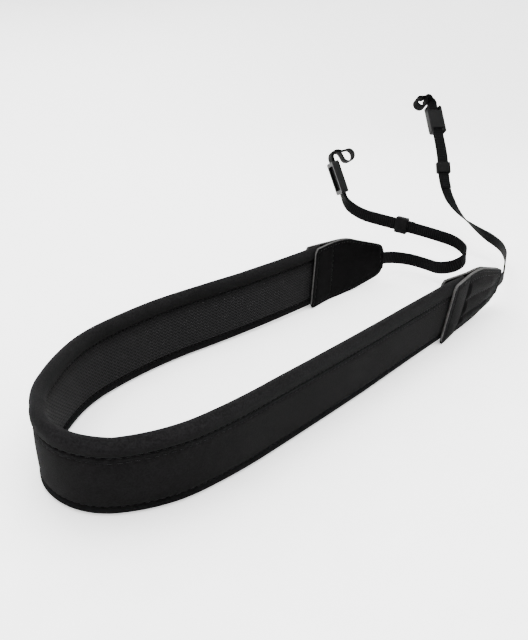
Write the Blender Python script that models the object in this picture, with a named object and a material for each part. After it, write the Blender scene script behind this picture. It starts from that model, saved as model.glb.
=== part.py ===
# Camera neck strap, standing on its long edge in a U.
# A padded band ends in two leather tabs. From each tab a narrow webbing runs through a keeper and
# a slider buckle, makes an eye for a lug, and comes back to a short free tail.
# Units are metres and degrees. +Z is up, the bend of the U is at -Y and the tabs at +Y.

import math
from collections import namedtuple

import bmesh
import bpy
from mathutils import Matrix, Vector

# Driving dimensions
clearance = 0.0003              # gap kept between pieces that touch

pad_length = 0.599              # along the band, with the ends that are hidden in the tabs
pad_width = 0.042               # the band stands this high on its edge
pad_thickness = 0.0063
edge_puff = 0.0004              # how far the edge rolls stand proud of the band's faces
seam_tuck = 0.0008              # how far a roll is drawn in at its seam
seam_rise = 0.0012              # and over what height
top_roll_outer = 0.0080         # depth of the top roll on the outer face
top_roll_inner = 0.0086         # depth of the top roll on the inner face
top_roll_crown = 0.0042         # height of its rounded crown
bottom_roll_height = 0.0050
bottom_roll_crown = 0.0026
face_panel_recess = 0.0003
face_panel_crown = 0.0004
mesh_panel_recess = 0.0007
panel_edge_round = 0.0009

tab_length = 0.092
tab_height = 0.0435
tab_drop = 0.0016               # how far a tab reaches below the band
tab_overlap = 0.0155            # length of the band's end inside a tab
left_tab_slant = 0.0060         # how far the top of a tab's band-side edge is set back
right_tab_slant = -0.0030
left_tab_swing = 0.0060         # how far a tab's far end curves in
right_tab_swing = 0.0030
left_tab_rise = -0.0030         # how far a tab's far end stands above the run of the band
right_tab_rise = -0.0040
inner_leaf_thickness = 0.0014
outer_leaf_thickness = 0.0016
quilt_puff = 0.0010             # height of the outer leaf's quilted channels
quilt_channels = 3
quilt_from = 0.25               # the channels' ends, as shares of tab_length
quilt_to = 0.90

webbing_width = 0.010
webbing_thickness = 0.0012
webbing_tuck = 0.030            # length of webbing sewn in between the leaves
webbing_seat = 0.0205           # height of the webbing's middle in the tab
left_first_run = 0.1495         # tab to keeper
left_second_run = 0.054         # keeper to buckle
right_first_run = 0.217
right_second_run = 0.0275
left_tail = 0.006               # free tail beyond the keeper
right_tail = 0.016

keeper_length = 0.010
keeper_wall = 0.0012

buckle_length = 0.028
buckle_rail = 0.0022            # width of each side rail
buckle_bar = 0.0034             # length of each cross bar along the webbing
buckle_bar_thickness = 0.0015
buckle_side_play = 0.0005
buckle_corner = 0.0020
buckle_plate = 0.018            # length of its middle plate
buckle_lead = 0.003             # straight stretch of webbing before and after it

eye_radius = 0.0052             # of the loop that goes round a lug, to the webbing's middle
eye_reach = 0.008               # from where the layers part to the middle of the loop

# How finely the paths are cut into straight pieces
band_step = 0.012
band_turn_step = 7.0
webbing_step = 0.0075
webbing_turn_step = 11.0
eye_steps = 8
lead_steps = 4                  # of each layer between the neck and the loop
tuck_steps = 4
half_buckle_steps = 5
shortest_share = 0.2            # of a step that the webbing's cut end may keep
crown_steps = 8
leaf_columns = 12

# The band's route from its left end round the bend to its right end. along is a share of
# pad_length, heading the direction of travel, lean how far the wall tips outwards, and lift is 1
# where the wall stands on a tab's lower edge and 0 where it stands on its own.
BandRow = namedtuple("BandRow", "along heading lean lift")
band_rows = (
    BandRow(0.000, -88.5, 1.0, 1.0),
    BandRow(0.197, -95.5, 1.0, 0.0),
    BandRow(0.325, -79.5, -1.0, 0.0),
    BandRow(0.381, -60.0, -1.0, 0.0),
    BandRow(0.432, -50.0, -1.0, 0.0),
    BandRow(0.478, -26.5, 1.0, 0.0),
    BandRow(0.519, 9.0, 9.0, 0.0),
    BandRow(0.555, 50.5, 15.0, 0.0),
    BandRow(0.616, 83.0, 12.0, 0.0),
    BandRow(0.683, 91.0, 10.0, 0.0),
    BandRow(0.826, 92.0, 10.0, 0.0),
    BandRow(1.000, 91.0, 12.0, 1.0),
)

# A tab's outline and how its leaves close. along is a share of tab_length from the band's side,
# low and high are shares of tab_height, spread is how far the leaves stand apart between the
# webbing's thickness and the band's, swing and rise are shares of the far end's offsets.
TabRow = namedtuple("TabRow", "along low high spread swing rise")
tab_rows = (
    TabRow(0.000, 0.07, 0.93, 1.00, 0.00, 0.00),
    TabRow(0.012, 0.02, 0.98, 1.00, 0.00, 0.00),
    TabRow(0.040, 0.00, 1.00, 1.00, 0.00, 0.00),
    TabRow(0.200, 0.00, 1.00, 1.00, 0.00, 0.00),
    TabRow(0.260, 0.00, 1.00, 0.75, 0.03, 0.01),
    TabRow(0.330, 0.00, 1.00, 0.42, 0.07, 0.03),
    TabRow(0.420, 0.00, 1.00, 0.18, 0.14, 0.10),
    TabRow(0.520, 0.02, 0.98, 0.06, 0.26, 0.22),
    TabRow(0.620, 0.04, 0.93, 0.00, 0.40, 0.36),
    TabRow(0.720, 0.08, 0.88, 0.00, 0.56, 0.52),
    TabRow(0.820, 0.12, 0.83, 0.00, 0.71, 0.68),
    TabRow(0.920, 0.17, 0.78, 0.00, 0.87, 0.86),
    TabRow(0.975, 0.23, 0.74, 0.00, 0.96, 0.96),
    TabRow(1.000, 0.31, 0.67, 0.00, 1.00, 1.00),
)

# Routes of the webbing's free runs. along is a share of the run, turn, climb and roll are added
# to the direction in which the webbing leaves the tab.
RunRow = namedtuple("RunRow", "along turn climb roll")
left_first_rows = (
    RunRow(0.00, 0.0, 0.0, 0.0),
    RunRow(0.12, -16.0, -9.0, 0.0),
    RunRow(0.24, -87.0, 0.0, 0.0),
    RunRow(0.36, -111.0, 7.0, 0.0),
    RunRow(0.46, -82.0, 22.0, 0.0),
    RunRow(0.56, 3.0, 35.0, 0.0),
    RunRow(0.64, 67.0, 25.5, 0.0),
    RunRow(0.76, 100.0, 12.0, 0.0),
    RunRow(0.88, 101.0, 10.5, 0.0),
    RunRow(1.00, 107.0, 10.0, 0.0),
)
left_second_rows = (
    RunRow(0.00, 107.0, 10.0, 0.0),
    RunRow(0.45, 106.0, 11.0, 0.0),
    RunRow(0.80, 102.0, 32.0, -10.0),
    RunRow(1.00, 98.0, 68.0, -35.0),
)
right_first_rows = (
    RunRow(0.00, 0.0, 0.0, 0.0),
    RunRow(0.15, 18.0, 1.5, -10.0),
    RunRow(0.35, 16.5, 0.5, -11.0),
    RunRow(0.50, 30.0, 6.5, -14.0),
    RunRow(0.62, 67.0, 17.0, -20.0),
    RunRow(0.74, 80.0, 31.5, -70.0),
    RunRow(0.87, 60.0, 45.0, -100.0),
    RunRow(1.00, 38.0, 60.0, -100.0),
)
right_second_rows = (
    RunRow(0.00, 38.0, 60.0, -100.0),
    RunRow(0.50, 44.0, 54.0, -100.0),
    RunRow(1.00, 50.0, 58.0, -100.0),
)

# Where the doubled webbing turns from the buckle towards its lug: length, twist about its own
# line, and bend towards the side on which the returning layer lies.
NeckRow = namedtuple("NeckRow", "length twist bend")
left_neck = (NeckRow(0.013, 0.0, 130.0),)
right_neck = (NeckRow(0.005, -90.0, 0.0), NeckRow(0.008, 0.0, 130.0))

TabForm = namedtuple("TabForm", "slant swing rise")
Station = namedtuple("Station", "place forward side up")
layer_pitch = webbing_thickness + clearance
stack_thickness = 2 * webbing_thickness + clearance


def between(rows, along, column):
    """Value of a table's column at a share of its length."""
    for low, high in zip(rows, rows[1:]):
        if along <= high.along:
            share = (along - low.along) / (high.along - low.along)
            return getattr(low, column) + share * (getattr(high, column) - getattr(low, column))
    return getattr(rows[-1], column)


def ease(share):
    """0 to 1 with level ends."""
    return (1 - math.cos(math.pi * share)) / 2


def loft(name, rings, closed, material, parent):
    """Skin a row of rings into one solid; closed joins the last ring to the first."""
    mesh = bmesh.new()
    loops = [[mesh.verts.new(point) for point in ring] for ring in rings]
    count = len(loops[0])
    pairs = list(zip(loops, loops[1:]))
    if closed:
        pairs.append((loops[-1], loops[0]))
    for near, far in pairs:
        for k in range(count):
            after = (k + 1) % count
            mesh.faces.new((near[k], near[after], far[after], far[k]))
    if not closed:
        mesh.faces.new(loops[0])
        mesh.faces.new(loops[-1])
    bmesh.ops.recalc_face_normals(mesh, faces=mesh.faces)
    return add_object(name, mesh, material, parent)


def add_object(name, mesh, material, parent):
    """Turn a bmesh into a named object with its material, under the strap's empty."""
    data = bpy.data.meshes.new(name)
    mesh.to_mesh(data)
    mesh.free()
    data.materials.append(material)
    data.shade_smooth()
    data.set_sharp_from_angle(angle=math.radians(35))
    piece = bpy.data.objects.new(name, data)
    bpy.context.scene.collection.objects.link(piece)
    piece.parent = parent
    return piece


def make_material(name, colour, roughness, metallic=0.0):
    """A plain Principled material."""
    material = bpy.data.materials.new(name)
    material.use_nodes = True
    shader = material.node_tree.nodes["Principled BSDF"]
    shader.inputs["Base Color"].default_value = (*colour, 1.0)
    shader.inputs["Roughness"].default_value = roughness
    shader.inputs["Metallic"].default_value = metallic
    return material


def band_station(place, heading, lean, lift):
    """Frame of the band's wall: forward along it, side outwards, up along the leaning wall."""
    turn = math.radians(heading)
    tip = math.radians(lean)
    forward = Vector((math.cos(turn), math.sin(turn), 0))
    level_side = Vector((math.sin(turn), -math.cos(turn), 0))
    side = level_side * math.cos(tip) - Vector((0, 0, math.sin(tip)))
    up = level_side * math.sin(tip) + Vector((0, 0, math.cos(tip)))
    half_flat = pad_thickness / 2 - bottom_roll_crown
    on_band = half_flat * math.sin(tip) + bottom_roll_crown * (1 - math.cos(tip))
    leaf_reach = pad_thickness / 2 + edge_puff + clearance + outer_leaf_thickness
    on_tab = tab_drop * math.cos(tip) + leaf_reach * math.sin(tip)
    foot = Vector((place.x, place.y, on_band + lift * (on_tab - on_band)))
    return Station(foot, forward, side, up)


def band_path():
    """Stations of the band, closer together where it bends."""
    place = Vector((0, 0, 0))
    first = band_rows[0]
    stations = [(0.0, band_station(place, first.heading, first.lean, first.lift))]
    for low, high in zip(band_rows, band_rows[1:]):
        length = (high.along - low.along) * pad_length
        turn = high.heading - low.heading
        steps = max(math.ceil(length / band_step), math.ceil(abs(turn) / band_turn_step))
        for k in range(1, steps + 1):
            middle = math.radians(low.heading + turn * (k - 0.5) / steps)
            place = place + Vector((math.cos(middle), math.sin(middle), 0)) * length / steps
            share = k / steps
            along = low.along + share * (high.along - low.along)
            heading = low.heading + turn * share
            lean = low.lean + share * (high.lean - low.lean)
            lift = low.lift + share * (high.lift - low.lift)
            stations.append((along, band_station(place, heading, lean, lift)))
    return stations


def band_place(stations, along):
    """Frame of the band at any share of its length."""
    for (low, near), (high, far) in zip(stations, stations[1:]):
        if along <= high:
            share = (along - low) / (high - low)
            return Station(*(near[k].lerp(far[k], share) for k in range(4)))
    return stations[-1][1]


def sweep_band(name, outline, stations, material, parent):
    """Run an outline of (across, height) points along the whole band."""
    rings = []
    for _, frame in stations:
        rings.append([frame.place + frame.side * across + frame.up * height
                      for across, height in outline])
    return loft(name, rings, False, material, parent)


def top_roll_outline():
    half = pad_thickness / 2
    proud = half + edge_puff
    springing = pad_width - top_roll_crown
    points = [(-clearance / 2, pad_width - top_roll_outer),
              (half - seam_tuck, pad_width - top_roll_outer),
              (proud, pad_width - top_roll_outer + seam_rise)]
    for k in range(crown_steps + 1):
        angle = math.pi * k / crown_steps
        points.append((proud * math.cos(angle), springing + top_roll_crown * math.sin(angle)))
    points.append((-half + seam_tuck, pad_width - top_roll_inner))
    points.append((-clearance / 2, pad_width - top_roll_inner))
    return points


def bottom_roll_outline():
    half = pad_thickness / 2
    steps = crown_steps - 2
    points = [(-half + seam_tuck, bottom_roll_height)]
    for k in range(steps + 1):
        angle = math.pi + math.pi * k / steps
        points.append((half * math.cos(angle), bottom_roll_crown * (1 + math.sin(angle))))
    points.append((half - seam_tuck, bottom_roll_height))
    return points


def panel_outline(surface, top, crown, sense):
    """Half of the band between the rolls; sense is +1 for the outer half, -1 for the inner."""
    low = bottom_roll_height + clearance
    high = top - clearance
    points = [(clearance / 2, low),
              (surface - panel_edge_round, low),
              (surface, low + panel_edge_round),
              (surface + crown, (low + high) / 2),
              (surface, high - panel_edge_round),
              (surface - panel_edge_round, high),
              (clearance / 2, high)]
    return [(sense * across, height) for across, height in points]


def tab_frame(stations, left):
    """Frame at the tab's band-side lower corner; forward points away from the band."""
    overlap = tab_overlap / pad_length
    frame = band_place(stations, overlap if left else 1 - overlap)
    forward = -frame.forward if left else frame.forward
    place = frame.place - frame.up * tab_drop
    return Station(place, forward, frame.side, frame.up)


def tab_point(frame, form, along, level, off):
    """Point of a tab: share of its length, height above its lower edge, distance outwards."""
    swing = form.swing * between(tab_rows, along, "swing")
    rise = form.rise * between(tab_rows, along, "rise")
    back = form.slant * (level / tab_height) * (1 - along)
    return (frame.place + frame.forward * (along * tab_length + back)
            + frame.side * (off - swing) + frame.up * (level + rise))


def leaf_gap(row, level):
    """Distance from the tab's middle plane to a leaf's inner side."""
    band_gap = pad_thickness / 2 + edge_puff + clearance
    webbing_gap = webbing_thickness / 2 + clearance
    core = webbing_gap + (band_gap - webbing_gap) * row.spread
    rim = clearance / 2 + (band_gap - clearance / 2) * row.spread
    column = tab_height * (row.high - row.low) / leaf_columns
    core_half = webbing_width / 2 + clearance + column
    beyond = abs(level - webbing_seat) - core_half
    if beyond <= 0:
        return core
    edge = row.high * tab_height if level > webbing_seat else row.low * tab_height
    room = abs(edge - webbing_seat) - core_half
    return core + (rim - core) * min(1, beyond / room) if room > column / 2 else core


def quilt_height(row, share):
    """Swell of the outer leaf's lengthwise channels."""
    if not quilt_from < row.along < quilt_to:
        return 0.0
    margin = 1 / leaf_columns
    inside = (share - margin) / (1 - 2 * margin)
    if not 0 < inside < 1:
        return 0.0
    return quilt_puff * abs(math.sin(math.pi * quilt_channels * inside))


def make_leaf(name, frame, form, outer, material, parent):
    """One leather leaf of a tab, as rings round its thickness."""
    sense = 1 if outer else -1
    thickness = outer_leaf_thickness if outer else inner_leaf_thickness
    rings = []
    for row in tab_rows:
        near_side = []
        far_side = []
        for k in range(leaf_columns + 1):
            share = k / leaf_columns
            level = tab_height * (row.low + (row.high - row.low) * share)
            gap = leaf_gap(row, level)
            swell = quilt_height(row, share) if outer else 0.0
            near_side.append(tab_point(frame, form, row.along, level, sense * gap))
            far_side.append(tab_point(frame, form, row.along, level,
                                      sense * (gap + thickness + swell)))
        rings.append(near_side + far_side[::-1])
    return loft(name, rings, False, material, parent)


def webbing_station(place, heading, climb, roll):
    """Frame of the webbing: forward along it, side across its thickness, up across its width."""
    turn = math.radians(heading)
    pitch = math.radians(climb)
    twist = math.radians(roll)
    forward = Vector((math.cos(pitch) * math.cos(turn), math.cos(pitch) * math.sin(turn),
                      math.sin(pitch)))
    level_up = Vector((-math.sin(pitch) * math.cos(turn), -math.sin(pitch) * math.sin(turn),
                       math.cos(pitch)))
    level_side = forward.cross(level_up)
    up = level_up * math.cos(twist) + level_side * math.sin(twist)
    return Station(place, forward, forward.cross(up), up)


def webbing_start(frame, form):
    """Where the webbing leaves its tab, and the angles at which it does."""
    inside = 1 - webbing_tuck / tab_length
    sewn = tab_point(frame, form, inside, webbing_seat, 0)
    mouth = tab_point(frame, form, 1, webbing_seat, 0)
    forward = (mouth - sewn).normalized()
    heading = math.degrees(math.atan2(forward.y, forward.x))
    climb = math.degrees(math.asin(forward.z))
    level = webbing_station(mouth, heading, climb, 0)
    roll = math.degrees(math.atan2(frame.up.dot(level.side), frame.up.dot(level.up)))
    return sewn, mouth, (heading, climb, roll)


def follow_run(stations, rows, length, start):
    """Add a free run of the webbing to its stations."""
    place = stations[-1].place
    for low, high in zip(rows, rows[1:]):
        piece = (high.along - low.along) * length
        bend = max(abs(high.turn - low.turn), abs(high.climb - low.climb), abs(high.roll - low.roll))
        steps = max(math.ceil(piece / webbing_step), math.ceil(bend / webbing_turn_step))
        for k in range(1, steps + 1):
            half = [getattr(low, c) + (k - 0.5) / steps * (getattr(high, c) - getattr(low, c))
                    for c in ("turn", "climb", "roll")]
            full = [getattr(low, c) + k / steps * (getattr(high, c) - getattr(low, c))
                    for c in ("turn", "climb", "roll")]
            chord = webbing_station(place, *(a + b for a, b in zip(start, half)))
            place = place + chord.forward * piece / steps
            stations.append(webbing_station(place, *(a + b for a, b in zip(start, full))))


def follow_straight(stations, length, steps):
    """Add a straight stretch of the webbing to its stations."""
    last = stations[-1]
    for k in range(1, steps + 1):
        stations.append(last._replace(place=last.place + last.forward * length * k / steps))


def follow_neck(stations, rows):
    """Add the turn between the buckle and the loop, in the webbing's own frame."""
    for row in rows:
        steps = math.ceil(max(abs(row.twist), abs(row.bend)) / webbing_turn_step)
        twist = math.radians(row.twist) / steps
        bend = math.radians(row.bend) / steps
        for _ in range(steps):
            last = stations[-1]
            up = last.up * math.cos(twist) + last.side * math.sin(twist)
            side = last.side * math.cos(twist) - last.up * math.sin(twist)
            forward = last.forward * math.cos(bend) + side * math.sin(bend)
            halfway = last.forward * math.cos(bend / 2) + side * math.sin(bend / 2)
            side = side * math.cos(bend) - last.forward * math.sin(bend)
            place = last.place + halfway * row.length / steps
            stations.append(Station(place, forward, side, up))


def eye_stations(last):
    """Stations of the loop round the lug, from the main layer over to the returning one."""
    middle = layer_pitch / 2
    swell = eye_radius - middle
    spots = []
    for k in range(1, lead_steps + 1):
        share = k / lead_steps
        slope = swell * math.pi / 2 * math.sin(math.pi * share) / eye_reach
        spots.append((eye_reach * share, -swell * ease(share), -math.atan(slope)))
    for k in range(1, eye_steps + 1):
        angle = -math.pi / 2 + math.pi * k / eye_steps
        spots.append((eye_reach + eye_radius * math.cos(angle),
                      middle + eye_radius * math.sin(angle), angle + math.pi / 2))
    for k in range(1, lead_steps + 1):
        share = 1 - k / lead_steps
        slope = swell * math.pi / 2 * math.sin(math.pi * share) / eye_reach
        spots.append((eye_reach * share, layer_pitch + swell * ease(share),
                      math.pi + math.atan(slope)))
    found = []
    for along, off, angle in spots:
        forward = last.forward * math.cos(angle) + last.side * math.sin(angle)
        side = last.side * math.cos(angle) - last.forward * math.sin(angle)
        found.append(Station(last.place + last.forward * along + last.side * off,
                             forward, side, last.up))
    return found


def make_webbing_path(frame, form, route):
    """Stations of the main layer, with the index of the keeper's start and two middles."""
    sewn, mouth, start = webbing_start(frame, form)
    stations = [webbing_station(sewn, *start)]
    follow_straight(stations, (mouth - sewn).length, tuck_steps)
    follow_run(stations, route.first_rows, route.first_run, start)
    keeper_start = len(stations) - 1
    follow_straight(stations, keeper_length, 2)
    keeper = stations[-2]
    follow_run(stations, route.second_rows, route.second_run, start)
    follow_straight(stations, buckle_lead, 2)
    follow_straight(stations, buckle_length, 2 * half_buckle_steps)
    buckle = stations[-1 - half_buckle_steps]
    follow_straight(stations, buckle_lead, 2)
    follow_neck(stations, route.neck)
    return stations, keeper_start, keeper, buckle


def make_webbing(name, path, keeper_start, tail, material, parent):
    """The whole webbing as one ribbon: out, round the lug's place and back to its tail."""
    ribbon = path + eye_stations(path[-1])
    walked = 0.0
    back_end = keeper_start
    while walked < tail and back_end > 0:
        step = (path[back_end].place - path[back_end - 1].place).length
        walked += step
        back_end -= 1
    for station in reversed(path[back_end:-1]):
        shifted = station.place + station.side * layer_pitch
        ribbon.append(Station(shifted, -station.forward, -station.side, station.up))
    over = walked - tail
    last = ribbon[-1]
    before = ribbon[-2]
    step = (last.place - before.place).length
    trimmed = before.place.lerp(last.place, max(shortest_share, 1 - over / step))
    ribbon[-1] = last._replace(place=trimmed)
    rings = []
    for station in ribbon:
        across = station.side * webbing_thickness / 2
        wide = station.up * webbing_width / 2
        rings.append([station.place + across + wide, station.place + across - wide,
                      station.place - across - wide, station.place - across + wide])
    return loft(name, rings, False, material, parent)


def set_place(piece, station, off):
    """Put a rigid piece at a station of the webbing, shifted across its thickness."""
    axes = Matrix((station.forward, station.up, station.side)).transposed()
    piece.matrix_local = Matrix.Translation(station.place + station.side * off) @ axes.to_4x4()


def chamfered(along, wide, thick, cut):
    """Corners of a rectangle across the webbing with its corners cut off."""
    return [(along, wide, thick - cut), (along, wide - cut, thick), (along, -wide + cut, thick),
            (along, -wide, thick - cut), (along, -wide, -thick + cut), (along, -wide + cut, -thick),
            (along, wide - cut, -thick), (along, wide, -thick + cut)]


def make_keeper(name, station, material, parent):
    """A short band round both layers."""
    wide = webbing_width / 2 + clearance
    thick = stack_thickness / 2 + clearance
    half = keeper_length / 2
    inner_cut = clearance / 2
    outer_cut = keeper_wall / 2
    rings = [chamfered(-half, wide, thick, inner_cut),
             chamfered(-half, wide + keeper_wall, thick + keeper_wall, outer_cut),
             chamfered(half, wide + keeper_wall, thick + keeper_wall, outer_cut),
             chamfered(half, wide, thick, inner_cut)]
    keeper = loft(name, rings, True, material, parent)
    set_place(keeper, station, layer_pitch / 2)
    return keeper


def make_buckle(name, station, material, parent):
    """A flat slider: two rails joined by an end bar at each end, and by a plate over the other face."""
    inner_width = webbing_width + 2 * buckle_side_play
    outer_width = inner_width + 2 * buckle_rail
    bar_face = stack_thickness / 2 + clearance
    half_height = bar_face + buckle_bar_thickness
    body = bmesh.new()
    bmesh.ops.create_cube(body, size=1.0)
    bmesh.ops.scale(body, verts=body.verts, vec=(buckle_length, outer_width, 2 * half_height))
    corners = [edge for edge in body.edges
               if abs(edge.verts[0].co.z - edge.verts[1].co.z) > half_height]
    bmesh.ops.bevel(body, geom=corners, offset=buckle_corner, offset_type="OFFSET", segments=3,
                    profile=0.5, affect="EDGES", clamp_overlap=True, material=-1)
    buckle = add_object(name, body, material, parent)
    set_place(buckle, station, layer_pitch / 2)
    # The plate lies over the returning layer, the end bars over the main one
    end = buckle_length / 2
    bar = buckle_bar
    plate = buckle_plate / 2
    beyond = buckle_corner
    profile = ((-end - beyond, half_height + beyond), (-plate, half_height + beyond),
               (-plate, bar_face), (plate, bar_face), (plate, half_height + beyond),
               (end + beyond, half_height + beyond), (end + beyond, -bar_face),
               (end - bar, -bar_face), (end - bar, -half_height - beyond),
               (-end + bar, -half_height - beyond), (-end + bar, -bar_face),
               (-end - beyond, -bar_face))
    rings = [[(x, y, z) for x, z in profile] for y in (-inner_width / 2, inner_width / 2)]
    cutter = loft(name + "_cutter", rings, False, material, parent)
    cutter.hide_render = True
    cutter.display_type = "WIRE"
    set_place(cutter, station, layer_pitch / 2)
    cut = buckle.modifiers.new("windows", "BOOLEAN")
    cut.operation = "DIFFERENCE"
    cut.solver = "EXACT"
    cut.object = cutter
    return buckle


def centre_on_floor(pieces, parent):
    """Put the origin under the middle of the strap, on the surface that it stands on."""
    bpy.context.view_layer.update()
    corners = [piece.matrix_world @ vertex.co for piece in pieces for vertex in piece.data.vertices]
    low = [min(corner[k] for corner in corners) for k in range(3)]
    high = [max(corner[k] for corner in corners) for k in range(3)]
    parent.location = (-(low[0] + high[0]) / 2, -(low[1] + high[1]) / 2, -low[2])


for leftover in list(bpy.data.objects):
    bpy.data.objects.remove(leftover, do_unlink=True)

strap = bpy.data.objects.new("strap", None)
bpy.context.scene.collection.objects.link(strap)
pieces = []

# The band: two panels between a top and a bottom roll
neoprene = make_material("neoprene", (0.020, 0.020, 0.021), 0.85)
air_mesh = make_material("air_mesh", (0.014, 0.014, 0.015), 0.80)
band = band_path()
outer_surface = pad_thickness / 2 - face_panel_recess
inner_surface = pad_thickness / 2 - mesh_panel_recess
pieces.append(sweep_band("pad_top_edge", top_roll_outline(), band, neoprene, strap))
pieces.append(sweep_band("pad_bottom_edge", bottom_roll_outline(), band, neoprene, strap))
pieces.append(sweep_band("pad_face_panel",
                         panel_outline(outer_surface, pad_width - top_roll_outer, face_panel_crown, 1),
                         band, neoprene, strap))
pieces.append(sweep_band("pad_mesh_panel",
                         panel_outline(inner_surface, pad_width - top_roll_inner, 0.0, -1),
                         band, air_mesh, strap))

# The ends: tabs, webbings, keepers and buckles
leather = make_material("leather", (0.016, 0.016, 0.017), 0.45)
nylon = make_material("nylon", (0.012, 0.012, 0.013), 0.70)
rubber = make_material("rubber", (0.014, 0.014, 0.015), 0.60)
plastic = make_material("plastic", (0.020, 0.020, 0.022), 0.35)
Route = namedtuple("Route", "first_rows first_run second_rows second_run neck tail")
ends = (
    ("left", TabForm(left_tab_slant, left_tab_swing, left_tab_rise),
     Route(left_first_rows, left_first_run, left_second_rows, left_second_run, left_neck, left_tail)),
    ("right", TabForm(right_tab_slant, right_tab_swing, right_tab_rise),
     Route(right_first_rows, right_first_run, right_second_rows, right_second_run, right_neck,
           right_tail)),
)
for side, form, route in ends:
    frame = tab_frame(band, side == "left")
    pieces.append(make_leaf(side + "_tab_outer_leaf", frame, form, True, leather, strap))
    pieces.append(make_leaf(side + "_tab_inner_leaf", frame, form, False, leather, strap))
    path, keeper_start, keeper_spot, buckle_spot = make_webbing_path(frame, form, route)
    pieces.append(make_webbing(side + "_webbing", path, keeper_start, route.tail, nylon, strap))
    pieces.append(make_keeper(side + "_keeper", keeper_spot, rubber, strap))
    pieces.append(make_buckle(side + "_slider_buckle", buckle_spot, plastic, strap))

centre_on_floor(pieces, strap)
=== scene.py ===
import math
from collections import namedtuple

import bmesh
import bpy
from mathutils import Matrix, Vector, noise


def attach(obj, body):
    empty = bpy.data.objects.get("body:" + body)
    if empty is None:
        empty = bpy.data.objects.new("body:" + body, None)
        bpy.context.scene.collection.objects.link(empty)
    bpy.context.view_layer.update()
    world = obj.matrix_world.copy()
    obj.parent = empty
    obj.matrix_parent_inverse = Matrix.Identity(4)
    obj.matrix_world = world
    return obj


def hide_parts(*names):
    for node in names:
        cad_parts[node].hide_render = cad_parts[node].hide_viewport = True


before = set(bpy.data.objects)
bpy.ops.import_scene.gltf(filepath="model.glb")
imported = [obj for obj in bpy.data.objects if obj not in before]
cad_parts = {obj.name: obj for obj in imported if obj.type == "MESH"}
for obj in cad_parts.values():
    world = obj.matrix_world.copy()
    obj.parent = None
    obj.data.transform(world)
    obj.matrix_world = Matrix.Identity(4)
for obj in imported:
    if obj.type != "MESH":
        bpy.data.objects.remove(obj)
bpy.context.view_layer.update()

# Top roll: the puffed binding that runs along the upper edge of the padded band.
# Soft neoprene faced with dark jersey cloth, folded over the edge and sewn down on both faces,
# so that it is drawn in a little at every stitch of the seam.
pad_length = 0.599
pad_width = 0.042
pad_half = 0.00315
edge_puff = 0.0004
seam_gap = 0.0003
top_roll_outer = 0.0080
top_roll_inner = 0.0086
top_roll_crown = 0.0042
bottom_roll_crown = 0.0026
tab_drop = 0.0016
outer_leaf_thickness = 0.0016
seam_pitch = 0.0032
tab_overlap = 0.0155
end_press = 0.45
seam_tuck = 0.0010
seam_pull_reach = 0.003
roll_springing = pad_width - top_roll_crown
roll_pull = 0.00028
roll_wave = 0.00012
crown_wave = 0.00015
belly_rise = 2.1
belly_curve = 0.8
side_rows = 9
crown_rows = 16
strap_shift = Vector((-0.02366, 0.01626, 0.00045))

# Where the band goes, from its left end round the bend: share of its length, heading, how far
# the wall tips outwards, and how far it is lifted on to its tab's lower edge
BandRow = namedtuple("BandRow", "along heading lean lift")
band_rows = (
    BandRow(0.000, -88.5, 1.0, 1.0), BandRow(0.197, -95.5, 1.0, 0.0),
    BandRow(0.325, -79.5, -1.0, 0.0), BandRow(0.381, -60.0, -1.0, 0.0),
    BandRow(0.432, -50.0, -1.0, 0.0), BandRow(0.478, -26.5, 1.0, 0.0),
    BandRow(0.519, 9.0, 9.0, 0.0), BandRow(0.555, 50.5, 15.0, 0.0),
    BandRow(0.616, 83.0, 12.0, 0.0), BandRow(0.683, 91.0, 10.0, 0.0),
    BandRow(0.826, 92.0, 10.0, 0.0), BandRow(1.000, 91.0, 12.0, 1.0),
)
Station = namedtuple("Station", "walked place forward side up")


def band_stations(step):
    """Frames along the band's foot: forward along it, side outwards, up its leaning wall."""
    ground = strap_shift.copy()
    stations = []
    for low, high in zip(band_rows, band_rows[1:]):
        length = (high.along - low.along) * pad_length
        count = math.ceil(length / step)
        for k in range(count + (high is band_rows[-1])):
            share = k / count
            turn = math.radians(low.heading + (high.heading - low.heading) * share)
            tip = math.radians(low.lean + (high.lean - low.lean) * share)
            lift = low.lift + (high.lift - low.lift) * share
            outward = Vector((math.sin(turn), -math.cos(turn), 0))
            side = outward * math.cos(tip) - Vector((0, 0, math.sin(tip)))
            up = outward * math.sin(tip) + Vector((0, 0, math.cos(tip)))
            on_band = ((pad_half - bottom_roll_crown) * math.sin(tip)
                       + bottom_roll_crown * (1 - math.cos(tip)))
            reach = pad_half + edge_puff + seam_gap + outer_leaf_thickness
            on_tab = tab_drop * math.cos(tip) + reach * math.sin(tip)
            foot = ground + Vector((0, 0, on_band + lift * (on_tab - on_band)))
            ahead = Vector((math.cos(turn), math.sin(turn), 0))
            walked = low.along * pad_length + length * share
            stations.append(Station(walked, foot, ahead, side, up))
            middle = turn + math.radians(high.heading - low.heading) / count / 2
            ground = ground + Vector((math.cos(middle), math.sin(middle), 0)) * length / count
    return stations


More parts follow.
